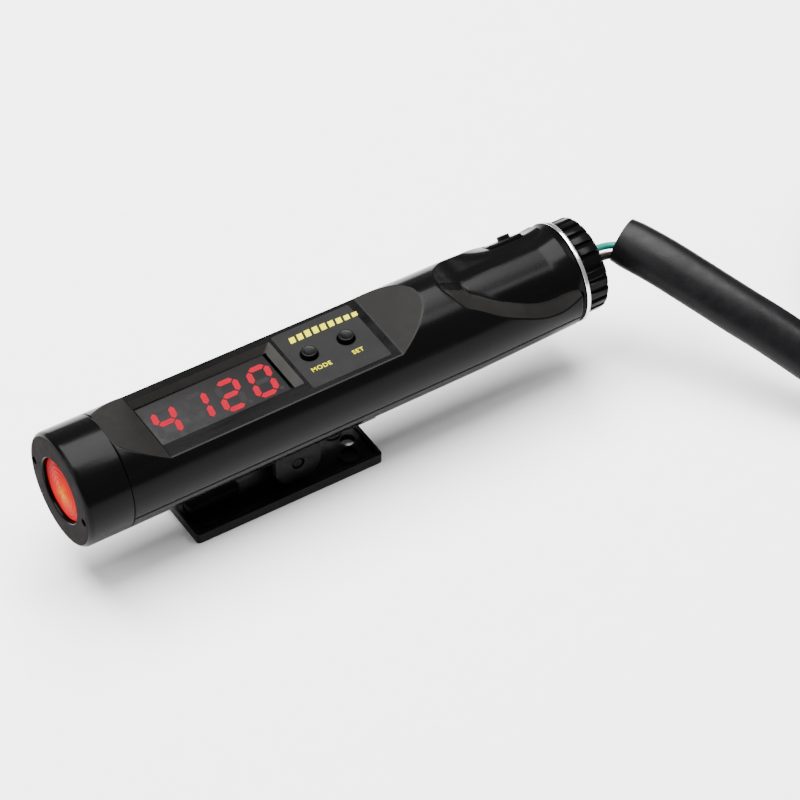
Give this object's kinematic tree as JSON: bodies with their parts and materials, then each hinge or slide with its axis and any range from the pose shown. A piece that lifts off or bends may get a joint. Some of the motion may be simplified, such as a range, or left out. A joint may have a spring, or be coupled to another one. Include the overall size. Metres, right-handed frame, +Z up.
{
  "type": "timing light",
  "caption": "Round-bodied timing light with a lit red lens, a four-digit display and two keys, a tilting pedestal mount and a sleeved lead from a fluted gland cap.",
  "frame": {"origin": "centre of the base plate's underside", "axes": "+Z up, +X along the barrel from the lens towards the lead"},
  "size_m": [0.271, 0.1015, 0.036],
  "materials": {
    "body_plastic": "satin black moulded plastic",
    "panel_plastic": "matt charcoal overlay",
    "display_grey": "matt grey display face with red segments",
    "black_rubber": "satin black rubber and PVC",
    "red_lens": "clear red, lit",
    "bright_metal": "bright plated",
    "steel": "zinc-plated steel",
    "circuit_board": "green solder mask",
    "nylon": "natural nylon",
    "green_wire": "teal PVC insulation",
    "red_wire": "red PVC insulation"
  },
  "bodies": {
    "barrel": {"board_screw_1": "steel", "board_screw_2": "steel", "capacitor_1": "steel", "capacitor_2": "steel", "controller_chip": "body_plastic", "display_module": "display_grey", "front_lens": "red_lens", "gland_grommet": "black_rubber", "inner_harness": "black_rubber", "lead_coil": "black_rubber", "lead_sleeve": "black_rubber", "lead_tail": "black_rubber", "led_board": "circuit_board", "led_emitter": "red_lens", "led_heat_sink": "steel", "led_wire_black": "black_rubber", "led_wire_red": "red_wire", "lens_gasket": "black_rubber", "lower_shell": "body_plastic", "main_board": "circuit_board", "mode_switch": "steel", "neck_screw_1": "steel", "neck_screw_2": "steel", "nose_cap": "body_plastic", "panel_label": "panel_plastic", "plug_housing": "nylon", "plug_latch": "nylon", "plug_pin_1": "steel", "plug_pin_2": "steel", "plug_pin_3": "steel", "power_switch": "steel", "reflector": "bright_metal", "saddle_bracket": "body_plastic", "saddle_screw_1": "steel", "saddle_screw_2": "steel", "set_switch": "steel", "tail_neck": "body_plastic", "tilt_pin": "steel", "trim_ring": "bright_metal", "upper_shell": "body_plastic", "voltage_regulator": "body_plastic", "wire_black": "black_rubber", "wire_green": "green_wire", "wire_header": "nylon", "wire_red": "red_wire"},
    "mode_key": {"mode_button": "body_plastic"},
    "set_key": {"set_button": "body_plastic"},
    "power_key": {"power_button": "body_plastic"},
    "washer": {"gland_washer": "black_rubber"},
    "cap": {"tail_cap": "body_plastic"},
    "swivel_head": {"turret": "body_plastic", "swivel_screw": "steel"},
    "base": {"base_plate": "body_plastic"}
  },
  "joints": [
    {"name": "mode_press", "type": "slide", "parent": "barrel", "child": "mode_key", "axis": [0, 0, -1], "range_m": [0, 0.0005], "stiffness_N_per_m": 400},
    {"name": "set_press", "type": "slide", "parent": "barrel", "child": "set_key", "axis": [0, 0, -1], "range_m": [0, 0.0005], "stiffness_N_per_m": 400},
    {"name": "power_press", "type": "slide", "parent": "barrel", "child": "power_key", "axis": [0, -0.7071, -0.7071], "range_m": [0, 0.0005], "stiffness_N_per_m": 400},
    {"name": "washer_slide", "type": "slide", "parent": "barrel", "child": "washer", "axis": [1, 0, 0], "range_m": [0, 0.0016]},
    {"name": "cap_turn", "type": "hinge", "parent": "washer", "child": "cap", "pos_m": [0.0718, 0, 0.0235], "axis": [1, 0, 0], "range_deg": [0, 720]},
    {"name": "tilt", "type": "hinge", "parent": "barrel", "child": "swivel_head", "pos_m": [0.00355, 0, 0.0072], "axis": [0, 1, 0], "range_deg": [-12, 12]},
    {"name": "swivel", "type": "hinge", "parent": "swivel_head", "child": "base", "pos_m": [0.00355, 0, 0], "axis": [0, 0, 1], "range_deg": [-180, 180]}
  ],
  "couplings": [
    {"joint": "washer_slide", "follows": "cap_turn", "m_per_rad": 0.00011937}
  ]
}
